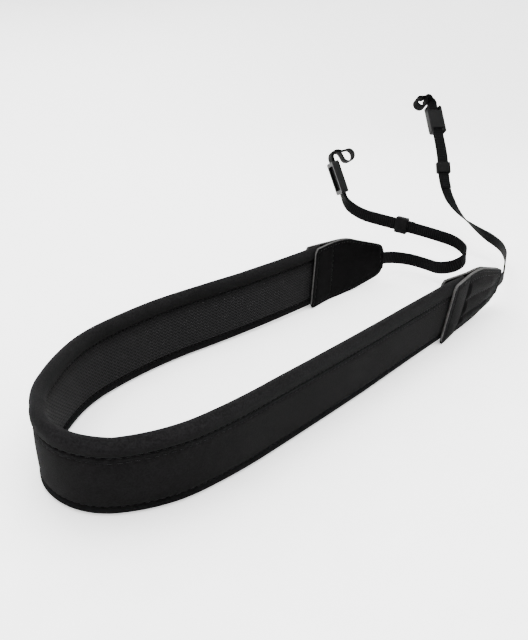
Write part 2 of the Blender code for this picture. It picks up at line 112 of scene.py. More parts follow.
def bend_sheet(rows, lengths, edge_columns=None):
    """Bend a flat grid on to rings of points and close it into one skin, with UVs in metres."""
    around = len(rows[0])
    sheet = bmesh.new()
    bmesh.ops.create_grid(sheet, x_segments=around, y_segments=len(rows) - 1, size=1.0)
    flat = sheet.loops.layers.uv.new("UVMap")
    girths = [0.0]
    middle = rows[len(rows) // 2]
    for k in range(around):
        girths.append(girths[-1] + (middle[(k + 1) % around] - middle[k]).length)
    spots = {}
    for corner in sheet.verts:
        column = round((corner.co.x + 1) / 2 * around)
        row = round((corner.co.y + 1) / 2 * (len(rows) - 1))
        spots[corner] = (row, column)
        corner.co = rows[row][column % around]
    for face in sheet.faces:
        face.smooth = True
        for loop in face.loops:
            row, column = spots[loop.vert]
            loop[flat].uv = (lengths[row], girths[column])
        if edge_columns and min(spots[corner][1] for corner in face.verts) in edge_columns:
            face.material_index = 1
    bmesh.ops.remove_doubles(sheet, verts=sheet.verts, dist=1e-6)
    rims = [edge for edge in sheet.edges if edge.is_boundary]
    if rims:
        ends = bmesh.ops.holes_fill(sheet, edges=rims, sides=0)["faces"]
        for face in ends:
            face.material_index = 1 if edge_columns else 0
    bmesh.ops.recalc_face_normals(sheet, faces=sheet.faces)
    return sheet


def put_down(name, mesh, *materials):
    """Make an object of a finished mesh."""
    data = bpy.data.meshes.new(name)
    mesh.to_mesh(data)
    mesh.free()
    for material in materials:
        data.materials.append(material)
    piece = bpy.data.objects.new(name, data)
    bpy.context.scene.collection.objects.link(piece)
    return piece


def pressed(walked):
    """Share of its thickness that the band keeps where a tab's leaves press its end flat."""
    from_end = min(walked, pad_length - walked)
    return 1 - end_press * max(0.0, 1 - from_end / tab_overlap)


def lay_along(name, outline, material):
    """A piece of the band, from an outline of (outwards, height) that may change along it."""
    rings = [[s.place + s.side * across * pressed(s.walked) + s.up * height
              for across, height in outline(s.walked)] for s in band]
    return put_down(name, bend_sheet(rings, [s.walked for s in band]), material)


def node_of(material, kind, **values):
    """Add a node, its fields set by name and its inputs by in_ and their number or name."""
    node = material.node_tree.nodes.new(kind)
    for key, value in values.items():
        if key.startswith("in_"):
            label = key[3:]
            node.inputs[int(label) if label.isdigit() else label].default_value = value
        else:
            setattr(node, key, value)
    return node


def wire(material, start, end):
    """Link an output to an input."""
    material.node_tree.links.new(start, end)


def sum_of(material, operation, first, second=None, third=None):
    """A Math node fed by sockets or numbers."""
    node = node_of(material, "ShaderNodeMath", operation=operation)
    for place, value in enumerate((first, second, third)):
        if isinstance(value, (int, float)):
            node.inputs[place].default_value = value
        elif value is not None:
            wire(material, value, node.inputs[place])
    return node.outputs[0]


def ranged(material, value, low, high, first=0.0, last=1.0):
    """A value brought from its own limits to new ones."""
    node = node_of(material, "ShaderNodeMapRange", in_1=low, in_2=high, in_3=first, in_4=last)
    wire(material, value, node.inputs["Value"])
    return node.outputs["Result"]


def wave_of(material, value, pitch, form="SINE"):
    """A wave of a given pitch along a value in metres."""
    return sum_of(material, form, sum_of(material, "MULTIPLY", value, 2 * math.pi / pitch))


def shader_of(material):
    """The material's Principled shader."""
    return material.node_tree.nodes["Principled BSDF"]


def tint(material, share, colour):
    """Lay a colour over the material's present one, as far as a share of 0 to 1 says."""
    base = shader_of(material).inputs["Base Color"]
    blend = node_of(material, "ShaderNodeMix", data_type="RGBA", blend_type="MIX")
    blend.inputs[7].default_value = (*colour, 1)
    wire(material, share, blend.inputs[0])
    wire(material, base.links[0].from_socket, blend.inputs[6])
    wire(material, blend.outputs[2], base)


# Uneven dye and handling: a soft cloudy shade, finer flecks in it, and the height of fine fibres.
# Every finish of the strap is given its own sizes of it.
worn_cloth = bpy.data.node_groups.new("cloudy_shade", "ShaderNodeTree")
for label, way in (("Cloud", "INPUT"), ("Fleck", "INPUT"), ("Shade", "OUTPUT"), ("Fibre", "OUTPUT")):
    worn_cloth.interface.new_socket(label, in_out=way, socket_type="NodeSocketFloat")
Holder = namedtuple("Holder", "node_tree")
group = Holder(worn_cloth)
entry = node_of(group, "NodeGroupInput")
leaving = node_of(group, "NodeGroupOutput")
where = node_of(group, "ShaderNodeTexCoord")
cloud = node_of(group, "ShaderNodeTexNoise", in_Detail=4.0, in_Roughness=0.62)
fleck = node_of(group, "ShaderNodeTexNoise", in_Detail=3.0, in_Roughness=0.7)
for start, end in ((entry.outputs["Cloud"], cloud.inputs["Scale"]),
                   (entry.outputs["Fleck"], fleck.inputs["Scale"]),
                   (where.outputs["Object"], cloud.inputs["Vector"]),
                   (where.outputs["Object"], fleck.inputs["Vector"]),
                   (fleck.outputs["Fac"], leaving.inputs["Fibre"])):
    wire(group, start, end)
part_cloud = sum_of(group, "MULTIPLY", cloud.outputs["Fac"], 0.20)
shade = sum_of(group, "MULTIPLY_ADD", fleck.outputs["Fac"], 0.80, part_cloud)
wire(group, shade, leaving.inputs["Shade"])


def shaded_material(name, dark, light, roughness, cloud_size, fleck_size, specular=0.5):
    """A Principled material whose colour and roughness follow the cloudy shade."""
    material = bpy.data.materials.new(name)
    material.use_nodes = True
    shader = shader_of(material)
    shader.inputs["Specular IOR Level"].default_value = specular
    cloth = node_of(material, "ShaderNodeGroup", node_tree=worn_cloth)
    cloth.inputs["Cloud"].default_value = 1 / cloud_size
    cloth.inputs["Fleck"].default_value = 1 / fleck_size
    tone = node_of(material, "ShaderNodeValToRGB")
    tone.color_ramp.elements[0].position = 0.40
    tone.color_ramp.elements[0].color = (*dark, 1)
    tone.color_ramp.elements[1].position = 0.60
    tone.color_ramp.elements[1].color = (*light, 1)
    wire(material, cloth.outputs["Shade"], tone.inputs["Fac"])
    wire(material, tone.outputs["Color"], shader.inputs["Base Color"])
    gloss = ranged(material, cloth.outputs["Shade"], 0.3, 0.7, *roughness)
    wire(material, gloss, shader.inputs["Roughness"])
    return material, cloth.outputs["Fibre"]


def raise_relief(material, height, strength, distance):
    """Feed a height to the shader's normal."""
    relief = node_of(material, "ShaderNodeBump")
    relief.inputs["Strength"].default_value = strength
    relief.inputs["Distance"].default_value = distance
    wire(material, height, relief.inputs["Height"])
    wire(material, relief.outputs["Normal"], shader_of(material).inputs["Normal"])


def surface_lines(material):
    """The piece's own UV in metres: along it, and round it."""
    own = node_of(material, "ShaderNodeUVMap", uv_map="UVMap")
    parts = node_of(material, "ShaderNodeSeparateXYZ")
    wire(material, own.outputs["UV"], parts.inputs[0])
    return parts.outputs["X"], parts.outputs["Y"]


def jersey_material(name, dark, light):
    """Neoprene faced with fine jersey: thin wales up the height, matt and slightly hairy."""
    wale_pitch = 0.00062
    course_pitch = 0.00048
    material, fibre = shaded_material(name, dark, light, (0.78, 0.95), 0.030, 0.0009, 0.02)
    along, round_it = surface_lines(material)
    weave = sum_of(material, "MULTIPLY", wave_of(material, along, wale_pitch),
                   wave_of(material, round_it, course_pitch))
    raise_relief(material, sum_of(material, "MULTIPLY_ADD", weave, 0.25, fibre), 0.55, 0.00022)
    shader_of(material).inputs["Sheen Weight"].default_value = 0.004
    shader_of(material).inputs["Sheen Roughness"].default_value = 0.5
    return material


def pull_of_stitches(walked, from_seam, reach):
    """How strongly a stitch draws the cloth in, 1 at a stitch hole on the seam."""
    fade = max(0.0, 1 - from_seam / reach)
    return fade * fade * (0.5 + 0.5 * math.cos(2 * math.pi * walked / seam_pitch))


def soft_wave(walked, level, seed):
    """Slow unevenness of a padded face, -1 to 1."""
    return noise.noise(Vector((walked * 42, level * 60, seed)))


def roll_side(walked, base, share):
    """Height and bulge of the roll at a share of the way from its seam up to its crown."""
    level = base + (roll_springing - base) * share
    risen = math.sin(math.pi / 2 * min(1, share * belly_rise)) ** belly_curve
    belly = (edge_puff + seam_tuck) * risen
    pull = roll_pull * pull_of_stitches(walked, level - base, seam_pull_reach)
    return level, pad_half - seam_tuck + belly - pull


def top_outline(walked):
    """The roll's outline: up its outer side, over its crown and down its inner side."""
    outer_base = pad_width - top_roll_outer
    inner_base = pad_width - top_roll_inner
    points = [(-seam_gap / 2, outer_base), (pad_half - seam_tuck, outer_base)]
    for k in range(1, side_rows + 1):
        level, bulge = roll_side(walked, outer_base, k / side_rows)
        points.append((bulge + roll_wave * soft_wave(walked, level, 1), level))
    crown = top_roll_crown + crown_wave * soft_wave(walked, 0.02, 2)
    for k in range(1, crown_rows):
        angle = math.pi * k / crown_rows
        points.append(((pad_half + edge_puff) * math.cos(angle),
                       roll_springing + crown * math.sin(angle)))
    for k in range(side_rows + 1):
        level, bulge = roll_side(walked, inner_base, 1 - k / side_rows)
        points.append((-bulge, level))
    points.append((-seam_gap / 2, inner_base))
    return points


band = band_stations(0.001)
# Painted light: the top roll's jersey is given a lighter tone than the same cloth on the outer
# panel, standing in for light from above
painted_light_roll_jersey = jersey_material("painted_light_roll_jersey", (0.0022, 0.0022, 0.0023), (0.0062, 0.0062, 0.0064))

# Painted shade: the roll's colour is darkened away from its crown towards the folds beside the two
# seams, where the cloth turns from the light
crown_at = 0.0128
off_crown = sum_of(painted_light_roll_jersey, "SUBTRACT", surface_lines(painted_light_roll_jersey)[1], crown_at)
painted_fold_shade = ranged(painted_light_roll_jersey, sum_of(painted_light_roll_jersey, "ABSOLUTE", off_crown), 0.0035, 0.0100, last=0.75)
tint(painted_light_roll_jersey, painted_fold_shade, (0.0006, 0.0006, 0.0006))
top_roll = lay_along("top_roll", top_outline, painted_light_roll_jersey)
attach(top_roll, "root")
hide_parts("pad_top_edge")

# Bottom roll: the narrower binding that the band stands on.
# The same jersey-faced neoprene, pressed flatter by the strap's weight and sewn to both faces.
bottom_roll_height = 0.0050
bottom_rows = 14
bottom_pull = 0.00010


def bottom_outline(walked):
    """The roll's outline, from its inner seam under the band to its outer one."""
    points = [(-pad_half + seam_tuck, bottom_roll_height)]
    for k in range(bottom_rows + 1):
        angle = math.pi + math.pi * k / bottom_rows
        points.append((pad_half * math.cos(angle), bottom_roll_crown * (1 + math.sin(angle))))
    points.append((pad_half - seam_tuck, bottom_roll_height))
    pulled = []
    for across, level in points:
        below = bottom_roll_height - level
        pull = bottom_pull * pull_of_stitches(walked, below, seam_pull_reach)
        pulled.append((across - math.copysign(pull, across), level))
    return pulled


# Painted shade: the bottom roll's jersey is given a darker tone than the same cloth on the outer
# panel, standing in for the shade under the band
painted_shade_under_jersey = jersey_material("painted_shade_under_jersey", (0.0008, 0.0008, 0.0008), (0.0030, 0.0030, 0.0031))
bottom_roll = lay_along("bottom_roll", bottom_outline, painted_shade_under_jersey)
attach(bottom_roll, "root")
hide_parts("pad_bottom_edge")

# Outer panel: the wide smooth face that shows on the outside of the U.
# Jersey-faced neoprene with a shallow crown, its upper edge topstitched just under the seam.
panel_low = bottom_roll_height + seam_gap
panel_round = 0.0011
face_surface = 0.00285
face_crown = 0.0004
face_wave = 0.00018
topstitch_below = 0.0023
topstitch_dip = 0.00020
topstitch_dip_reach = 0.0009
topstitch_pull = 0.00014
topstitch_pull_reach = 0.0022
upper_seam_pull = 0.00024
lower_seam_pull = 0.00008


def panel_levels(high, count):
    """Heights across a panel, closer together near its seams."""
    return [panel_low + (high - panel_low) * (1 - math.cos(math.pi * k / count)) / 2
            for k in range(count + 1)]


def rounded_edge(level, high):
    """How far a panel falls back towards its two seams."""
    near = min(level - panel_low, high - level)
    return panel_round * (1 - math.sqrt(1 - (1 - min(1, near / panel_round)) ** 2))


face_high = pad_width - top_roll_outer - seam_gap
face_rows = 36
face_levels = panel_levels(face_high, face_rows)


def face_outline(walked):
    """The panel's outline: a crowned face between two seams, flat at the band's middle."""
    points = [(seam_gap / 2, panel_low)]
    for level in face_levels:
        share = (level - panel_low) / (face_high - panel_low)
        swell = face_crown * math.sin(math.pi * share) + face_wave * soft_wave(walked, level, 5)
        from_line = abs(level - (face_high - topstitch_below))
        line = topstitch_dip * max(0, 1 - from_line / topstitch_dip_reach)
        pull = topstitch_pull * pull_of_stitches(walked, from_line, topstitch_pull_reach)
        pull += upper_seam_pull * pull_of_stitches(walked, face_high - level, seam_pull_reach)
        pull += lower_seam_pull * pull_of_stitches(walked, level - panel_low, seam_pull_reach)
        points.append((face_surface + swell - rounded_edge(level, face_high) - line - pull, level))
    points.append((seam_gap / 2, face_high))
    return points


face_jersey = jersey_material("face_jersey", (0.0010, 0.0010, 0.0010), (0.0037, 0.0037, 0.0038))
face_panel = lay_along("face_panel", face_outline, face_jersey)
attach(face_panel, "root")
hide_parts("pad_face_panel")

# Inner panel: the breathable side that lies on the neck.
# Black warp-knit air mesh, in upright columns of small V loops with open holes between them.
mesh_surface = 0.00245
mesh_high = pad_width - top_roll_inner - seam_gap
mesh_rows = 30
mesh_levels = panel_levels(mesh_high, mesh_rows)
mesh_pull = 0.00022
mesh_wave = 0.00012
loop_width = 0.0028
loop_height = 0.0020


def mesh_outline(walked):
    """The panel's outline, down its face and back up the band's middle."""
    points = [(-seam_gap / 2, mesh_high)]
    for level in reversed(mesh_levels):
        near = min(level - panel_low, mesh_high - level)
        pull = mesh_pull * pull_of_stitches(walked, near, seam_pull_reach)
        swell = mesh_wave * soft_wave(walked, level, 9)
        points.append((-mesh_surface - swell + rounded_edge(level, mesh_high) + pull, level))
    points.append((-seam_gap / 2, panel_low))
    return points


air_mesh, mesh_fibre = shaded_material("air_mesh_knit", (0.0003, 0.0003, 0.0003),
                                       (0.0010, 0.0010, 0.0011), (0.65, 0.85), 0.02, 0.0005, 0.03)
mesh_along, mesh_round = surface_lines(air_mesh)

# Each loop's two legs slant up to the middle of their column; the holes lie between the columns
column = sum_of(air_mesh, "DIVIDE", mesh_along, loop_width)
leg = sum_of(air_mesh, "MULTIPLY", sum_of(air_mesh, "PINGPONG", column, 0.5), 2.0)
course = sum_of(air_mesh, "DIVIDE", mesh_round, loop_height)
slanted = sum_of(air_mesh, "FRACT", sum_of(air_mesh, "MULTIPLY_ADD", leg, 0.75, course))
strand = sum_of(air_mesh, "SINE", sum_of(air_mesh, "MULTIPLY", slanted, math.pi))
between = sum_of(air_mesh, "MULTIPLY", sum_of(air_mesh, "SUBTRACT", 1.0, strand),
                 sum_of(air_mesh, "SUBTRACT", 1.0, leg))
hole = ranged(air_mesh, between, 0.22, 0.5)

# The yarn catches less light close under the top roll
by_the_seam = ranged(air_mesh, mesh_round, 0.0022, 0.0085, first=0.25)
shown_yarn = sum_of(air_mesh, "MULTIPLY", ranged(air_mesh, strand, 0.35, 1.0), by_the_seam)
tint(air_mesh, shown_yarn, (0.0100, 0.0100, 0.0103))
tint(air_mesh, hole, (0.0001, 0.0001, 0.0001))
knit_height = sum_of(air_mesh, "SUBTRACT", strand, hole)
raise_relief(air_mesh, sum_of(air_mesh, "MULTIPLY_ADD", mesh_fibre, 0.3, knit_height), 0.8, 0.0003)
mesh_panel = lay_along("mesh_panel", mesh_outline, air_mesh)
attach(mesh_panel, "root")
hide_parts("pad_mesh_panel")

# Seam stitches of the band: dark polyester thread, one row in each of the four seams and a
# topstitched row on the outer face. Each stitch is a short plump bead of twisted thread.
thread_thickness = 0.00036
stitch_share = 0.78
stitches_at_once = 30


def twisted_thread(name, dark, light):
    """Dull twisted polyester, for the seams of the band and of the tabs."""
    material, fibre = shaded_material(name, dark, light, (0.5, 0.7), 0.004, 0.0003, 0.05)
    raise_relief(material, fibre, 0.5, 0.0001)
    return material


def stitch_place(place, forward, normal, length, thickness):
    """Where a ball becomes one stitch, drawn out along the seam."""
    across = normal.cross(forward).normalized()
    axes = Matrix((across * thickness, normal * thickness, forward * length)).transposed().to_4x4()
    return Matrix.Translation(place) @ axes


def sew_up(name, stitches, material):
    """Make the stitches, some at a time, and gather them into one piece."""
    seam = bmesh.new()
    for first in range(0, len(stitches), stitches_at_once):
        few = bmesh.new()
        for place in stitches[first:first + stitches_at_once]:
            bmesh.ops.create_uvsphere(few, u_segments=6, v_segments=5, radius=0.5, matrix=place)
        bmesh.ops.recalc_face_normals(few, faces=few.faces)
        handful = bpy.data.meshes.new("handful")
        few.to_mesh(handful)
        few.free()
        seam.from_mesh(handful)
        bpy.data.meshes.remove(handful)
    for face in seam.faces:
        face.smooth = True
    return put_down(name, seam, material)


def sew_band(stitches, row, stations):
    """A row of stitches along the band at one height."""
    due = 0.5 * seam_pitch
    for s in stations:
        if s.walked < due:
            continue
        due += seam_pitch
        place = s.place + s.side * row.across + s.up * row.level
        stitches.append(stitch_place(place, s.forward, s.side, seam_pitch * stitch_share,
                                     thread_thickness))


band_thread = twisted_thread("band_thread", (0.0012, 0.0012, 0.0013), (0.0045, 0.0045, 0.0046))
band_seams = []
fine_band = band_stations(0.0002)
hidden_end = 0.0148
shown_band = [s for s in fine_band if hidden_end < s.walked < pad_length - hidden_end]
SeamRow = namedtuple("SeamRow", "across level")
for row in (SeamRow(0.00252, face_high + seam_gap / 2),
            SeamRow(0.00292, face_high - topstitch_below),
            SeamRow(0.00235, panel_low - seam_gap / 2),
            SeamRow(-0.00235, mesh_high + seam_gap / 2),
            SeamRow(-0.00230, panel_low - seam_gap / 2)):
    sew_band(band_seams, row, shown_band)
band_stitches = sew_up("band_stitches", band_seams, band_thread)
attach(band_stitches, "root")

# Leather tabs: two leaves of smooth black leather close over each end of the band and taper to
# the webbing. Their cut edges are left raw and pale; the outer leaf is quilted in three channels
# over a thin filler, behind a puffed cross band.
tab_length = 0.092
tab_height = 0.0435
inner_leaf_thickness = 0.0014
webbing_width = 0.010
webbing_thickness = 0.0012
webbing_seat = 0.0205
leaf_strips = 12
quilt_puff = 0.0013
cross_puff = 0.0008
plain_puff = 0.0003
puff_curve = 0.7
seam_groove = 0.00026
seam_groove_reach = 0.008
margin_groove = 0.00018
margin_groove_reach = 0.020
edge_rise = 0.10
edge_seam = 0.045
cross_seam = 0.285
end_seam = 0.955
margin_seam = 0.055
channel_lines = (0.10, 0.27, 0.56, 0.86)
channels_rise = (cross_seam + 0.005, cross_seam + 0.045)
channels_fade = (0.74, 0.92)
channel_seam_end = 0.93
tab_stitch_pitch = 0.0036
tab_stitch_share = 0.58
tab_thread_thickness = 0.00075

# How a tab is formed along its length: its lower and upper edges as shares of its height, how far
# its leaves stand apart, and how much of its whole swing inwards and of its rise it has reached
TabForm = namedtuple("TabForm", "slant swing rise")
TabRow = namedtuple("TabRow", "along low high spread swing rise")
tab_rows = (
    TabRow(0.000, 0.07, 0.93, 1.00, 0.00, 0.00), TabRow(0.012, 0.02, 0.98, 0.97, 0.00, 0.00),
    TabRow(0.040, 0.00, 1.00, 0.89, 0.00, 0.00), TabRow(0.178, 0.00, 1.00, 0.46, 0.00, 0.00),
    TabRow(0.250, 0.00, 1.00, 0.25, 0.03, 0.01), TabRow(0.310, 0.00, 1.00, 0.13, 0.06, 0.03),
    TabRow(0.400, 0.00, 1.00, 0.05, 0.13, 0.09), TabRow(0.520, 0.02, 0.98, 0.01, 0.26, 0.22),
    TabRow(0.620, 0.04, 0.93, 0.00, 0.40, 0.36), TabRow(0.720, 0.08, 0.88, 0.00, 0.56, 0.52),
    TabRow(0.820, 0.12, 0.83, 0.00, 0.71, 0.68), TabRow(0.920, 0.17, 0.78, 0.00, 0.87, 0.86),
    TabRow(0.975, 0.23, 0.74, 0.00, 0.96, 0.96), TabRow(1.000, 0.31, 0.67, 0.00, 1.00, 1.00),
)


def smooth_row(along):
    """The tab's row at a share of its length, eased from row to row without kinks."""
    for k, (low, high) in enumerate(zip(tab_rows, tab_rows[1:])):
        if along <= high.along or high is tab_rows[-1]:
            before = tab_rows[max(0, k - 1)]
            after = tab_rows[min(len(tab_rows) - 1, k + 2)]
            span = high.along - low.along
            share = min(1.0, (along - low.along) / span)
            values = []
            for column in range(1, 6):
                rise = high[column] - low[column]
                start = (high[column] - before[column]) / (high.along - before.along) * span
                stop = (after[column] - low[column]) / (after.along - low.along) * span
                start = start if start * rise > 0 else 0.0
                stop = stop if stop * rise > 0 else 0.0
                start = math.copysign(min(abs(start), 3 * abs(rise)), rise)
                stop = math.copysign(min(abs(stop), 3 * abs(rise)), rise)
                values.append(low[column] + start * share
                              + (3 * rise - 2 * start - stop) * share ** 2
                              + (start + stop - 2 * rise) * share ** 3)
            return TabRow(along, *values)
    return tab_rows[-1]


def frame_at(walked):
    """The band's frame at a distance along it."""
    return min(fine_band, key=lambda s: abs(s.walked - walked))


def tab_frame(left):
    """Frame at a tab's lower corner on the band's side; forward leads away from the band."""
    s = frame_at(tab_overlap if left else pad_length - tab_overlap)
    forward = -s.forward if left else s.forward
    return Station(0.0, s.place - s.up * tab_drop, forward, s.side, s.up)


def tab_point(home, form, row, level, off):
    """A point of a tab by its row, its height, and its distance outwards."""
    back = form.slant * (level / tab_height) * (1 - row.along)
    return (home.place + home.forward * (row.along * tab_length + back)
            + home.side * (off - form.swing * row.swing)
            + home.up * (level + form.rise * row.rise))


def leaf_gap(row, level):
    """Distance from the tab's middle to a leaf: over the band, over the webbing, or closed."""
    band_gap = pad_half + edge_puff + seam_gap
    webbing_gap = webbing_thickness / 2 + seam_gap
    core = webbing_gap + (band_gap - webbing_gap) * row.spread
    rim = seam_gap / 2 + (band_gap - seam_gap / 2) * row.spread
    strip = tab_height * (row.high - row.low) / leaf_strips
    core_half = webbing_width / 2 + seam_gap + strip
    beyond = abs(level - webbing_seat) - core_half
    if beyond <= 0:
        return core
    edge = row.high * tab_height if level > webbing_seat else row.low * tab_height
    room = abs(edge - webbing_seat) - core_half
    return core + (rim - core) * min(1, beyond / room) if room > strip / 2 else core


def swelling(low, high, value):
    """0 to 1 and smooth between two limits."""
    share = max(0.0, min(1.0, (value - low) / (high - low)))
    return share * share * (3 - 2 * share)


def leaf_relief(along, share, quilted):
    """Height of a leaf's face over its own thickness: filler, channels and sewn lines."""
    height = 0.0
    for line in (edge_seam, cross_seam, end_seam):
        height -= seam_groove * math.exp(-((along - line) / seam_groove_reach) ** 2)
    near_edge = min(share, 1 - share)
    height -= margin_groove * math.exp(-((near_edge - margin_seam) / margin_groove_reach) ** 2)
    body = swelling(0.0, edge_rise, near_edge)
    within = max(0.0, min(1.0, (along - edge_seam) / (cross_seam - edge_seam)))
    puff = cross_puff if quilted else plain_puff
    height += puff * body * math.sin(math.pi * within) ** puff_curve
    if quilted:
        started = swelling(*channels_rise, along)
        ended = 1 - swelling(*channels_fade, along)
        for low, high in zip(channel_lines, channel_lines[1:]):
            if low < share < high:
                crown = math.sin(math.pi * (share - low) / (high - low)) ** puff_curve
                height += quilt_puff * crown * started * ended
    return height


def leaf_point(home, form, outer, along, share, depth):
    """A point in a leaf: depth 0 on its hidden side, 1 on its shown face."""
    row = smooth_row(along)
    level = tab_height * (row.low + (row.high - row.low) * share)
    thickness = outer_leaf_thickness if outer else inner_leaf_thickness
    off = leaf_gap(row, level) + depth * (thickness + leaf_relief(along, share, outer))
    return tab_point(home, form, row, level, off if outer else -off)


leaf_columns = 54
leaf_rows = 100
rim_show = 0.011
rim_bulge = 0.00018
rim_shares = (0.15, 0.5, 0.85)
rim_columns = range(leaf_columns - 1, leaf_columns + len(rim_shares) + 2)
corner_row = 0.04
gathering = 0.5
gathering_fade = 12


def cut_leaf(home, form, outer):
    """One leaf as a closed skin whose cut rim is the second material.

    Its rows gather by the row where its rounded front corners end.
    """
    rows = []
    lengths = []
    for k in range(leaf_rows + 1):
        even = k / leaf_rows
        along = even + gathering * (corner_row - even) * (1 - even) ** gathering_fade
        along = min(1.0, along) if k else 0.0
        shares = [c / (leaf_columns - 1) * (1 - rim_show) for c in range(leaf_columns)] + [1.0]
        hidden = [leaf_point(home, form, outer, along, s, 0.0) for s in shares]
        shown = [leaf_point(home, form, outer, along, s, 1.0) for s in shares]
        top = [hidden[-1].lerp(shown[-1], t) + home.up * rim_bulge * (1 - abs(2 * t - 1))
               for t in rim_shares]
        foot = [shown[0].lerp(hidden[0], t) for t in rim_shares]
        rows.append(hidden + top + shown[::-1] + foot)
        lengths.append(along * tab_length)
    return bend_sheet(rows, lengths, rim_columns)


def sew_leaf(stitches, home, form, outer, start, end):
    """Stitches on a leaf's face in a line from one (along, share) spot to another."""
    steps = 60
    spots = [tuple(a + (b - a) * k / steps for a, b in zip(start, end)) for k in range(steps)]
    spots.append(end)
    places = [leaf_point(home, form, outer, a, s, 1.0) for a, s in spots]
    walked = 0.0
    due = tab_stitch_pitch / 2
    for k in range(1, len(spots)):
        walked += (places[k] - places[k - 1]).length
        if walked < due:
            continue
        due += tab_stitch_pitch
        forward = (places[k] - places[k - 1]).normalized()
        along, share = spots[k]
        beside = leaf_point(home, form, outer, along, min(1, share + 0.01), 1.0)
        beyond = leaf_point(home, form, outer, min(1, along + 0.01), share, 1.0)
        normal = (beside - places[k]).cross(beyond - places[k]).normalized()
        if normal.dot(home.side) * (1 if outer else -1) < 0:
            normal = -normal
        flat_forward = (forward - normal * forward.dot(normal)).normalized()
        stitches.append(stitch_place(places[k], flat_forward, normal,
                                     tab_stitch_pitch * tab_stitch_share, tab_thread_thickness))


leather, leather_fibre = shaded_material("black_leather", (0.0004, 0.0004, 0.0004),
                                         (0.0018, 0.0018, 0.0019), (0.55, 0.75), 0.012, 0.0012,
                                         0.008)
pores = node_of(leather, "ShaderNodeTexVoronoi", feature="DISTANCE_TO_EDGE", in_Scale=1100.0)
leather_place = node_of(leather, "ShaderNodeTexCoord")
wire(leather, leather_place.outputs["Object"], pores.inputs["Vector"])
grain = ranged(leather, pores.outputs["Distance"], 0.0, 0.25)
raise_relief(leather, sum_of(leather, "MULTIPLY_ADD", leather_fibre, 0.8, grain), 0.30, 0.00012)

cut_edge, cut_fibre = shaded_material("raw_cut_edge", (0.018, 0.0177, 0.0174),
                                      (0.060, 0.059, 0.058), (0.8, 0.95), 0.006, 0.0004, 0.02)
raise_relief(cut_edge, cut_fibre, 0.7, 0.0002)

tab_thread = twisted_thread("tab_thread", (0.0001, 0.0001, 0.0001), (0.0005, 0.0005, 0.0005))
tab_forms = {"left": TabForm(0.0060, 0.0060, -0.0030), "right": TabForm(-0.0030, 0.0030, -0.0040)}
tab_homes = {side: tab_frame(side == "left") for side in tab_forms}
for side, form in tab_forms.items():
    home = tab_homes[side]
    tab_seams = []
    for outer in (True, False):
        leaf_name = "outer_leaf" if outer else "inner_leaf"
        leaf = put_down(f"{side}_{leaf_name}_leather", cut_leaf(home, form, outer), leather,
                        cut_edge)
        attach(leaf, "root")
        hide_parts(f"{side}_tab_{leaf_name}")
        foot, head = margin_seam, 1 - margin_seam
        for start, end in (((edge_seam, foot), (edge_seam, head)),
                           ((cross_seam, foot), (cross_seam, head)),
                           ((edge_seam, foot), (end_seam, foot)),
                           ((edge_seam, head), (end_seam, head)),
                           ((end_seam, foot), (end_seam, head))):
            sew_leaf(tab_seams, home, form, outer, start, end)
        if outer:
            for valley in channel_lines:
                sew_leaf(tab_seams, home, form, outer, (cross_seam, valley),
                         (channel_seam_end, valley))
    stitches = sew_up(f"{side}_tab_stitches", tab_seams, tab_thread)
    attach(stitches, "root")

# Webbing: 10 mm black nylon with strong cross ribs, sewn in between the leaves of a tab.
# It passes the keeper and the buckle, turns in an open loop, and comes back to a free tail.
webbing_tuck = 0.030
rib_pitch = 0.0018
rib_depth = 0.00013
yarn_pitch = 0.00055
webbing_step = 0.0003
layer_pitch = webbing_thickness + seam_gap
loop_radius = 0.0052
loop_lead = 0.008
loop_lead_steps = 26
loop_turn_steps = 54
keeper_length = 0.010
buckle_length = 0.028
buckle_lead = 0.003

# The free runs before and after each keeper, in degrees added to the direction at the tab's mouth,
# and the doubled necks beyond the buckles: length, twist and bend of each stretch
RunRow = namedtuple("RunRow", "along turn climb roll")
Route = namedtuple("Route", "first_run first second_run second neck tail")
routes = {
    "left": Route(
        0.1495,
        (RunRow(0.00, 0.0, 0.0, 0.0), RunRow(0.12, -16.0, -9.0, 0.0),
         RunRow(0.24, -87.0, 0.0, 0.0), RunRow(0.36, -111.0, 7.0, 0.0),
         RunRow(0.46, -82.0, 22.0, 0.0), RunRow(0.56, 3.0, 35.0, 0.0),
         RunRow(0.64, 67.0, 25.5, 0.0), RunRow(0.76, 100.0, 12.0, 0.0),
         RunRow(0.88, 101.0, 10.5, 0.0), RunRow(1.00, 107.0, 10.0, 0.0)),
        0.054,
        (RunRow(0.00, 107.0, 10.0, 0.0), RunRow(0.45, 106.0, 11.0, 0.0),
         RunRow(0.80, 102.0, 32.0, -10.0), RunRow(1.00, 98.0, 68.0, -35.0)),
        ((0.013, 0.0, 130.0),), 0.006),
    "right": Route(
        0.217,
        (RunRow(0.00, 0.0, 0.0, 0.0), RunRow(0.15, 18.0, 1.5, -10.0),
         RunRow(0.35, 16.5, 0.5, -11.0), RunRow(0.50, 30.0, 6.5, -14.0),
         RunRow(0.62, 67.0, 17.0, -20.0), RunRow(0.74, 80.0, 31.5, -70.0),
         RunRow(0.87, 60.0, 45.0, -100.0), RunRow(1.00, 38.0, 60.0, -100.0)),
        0.0275,
        (RunRow(0.00, 38.0, 60.0, -100.0), RunRow(0.50, 44.0, 54.0, -100.0),
         RunRow(1.00, 50.0, 58.0, -100.0)),
        ((0.005, -90.0, 0.0), (0.008, 0.0, 130.0)), 0.016),
}


def webbing_station(place, heading, climb, roll):
    """Frame of the webbing: forward along it, side across its thickness, up across its width."""
    turn, pitch, twist = (math.radians(angle) for angle in (heading, climb, roll))
    forward = Vector((math.cos(pitch) * math.cos(turn), math.cos(pitch) * math.sin(turn),
                      math.sin(pitch)))
    level_up = Vector((-math.sin(pitch) * math.cos(turn), -math.sin(pitch) * math.sin(turn),
                       math.cos(pitch)))
    up = level_up * math.cos(twist) + forward.cross(level_up) * math.sin(twist)
    return Station(0.0, place, forward, forward.cross(up), up)


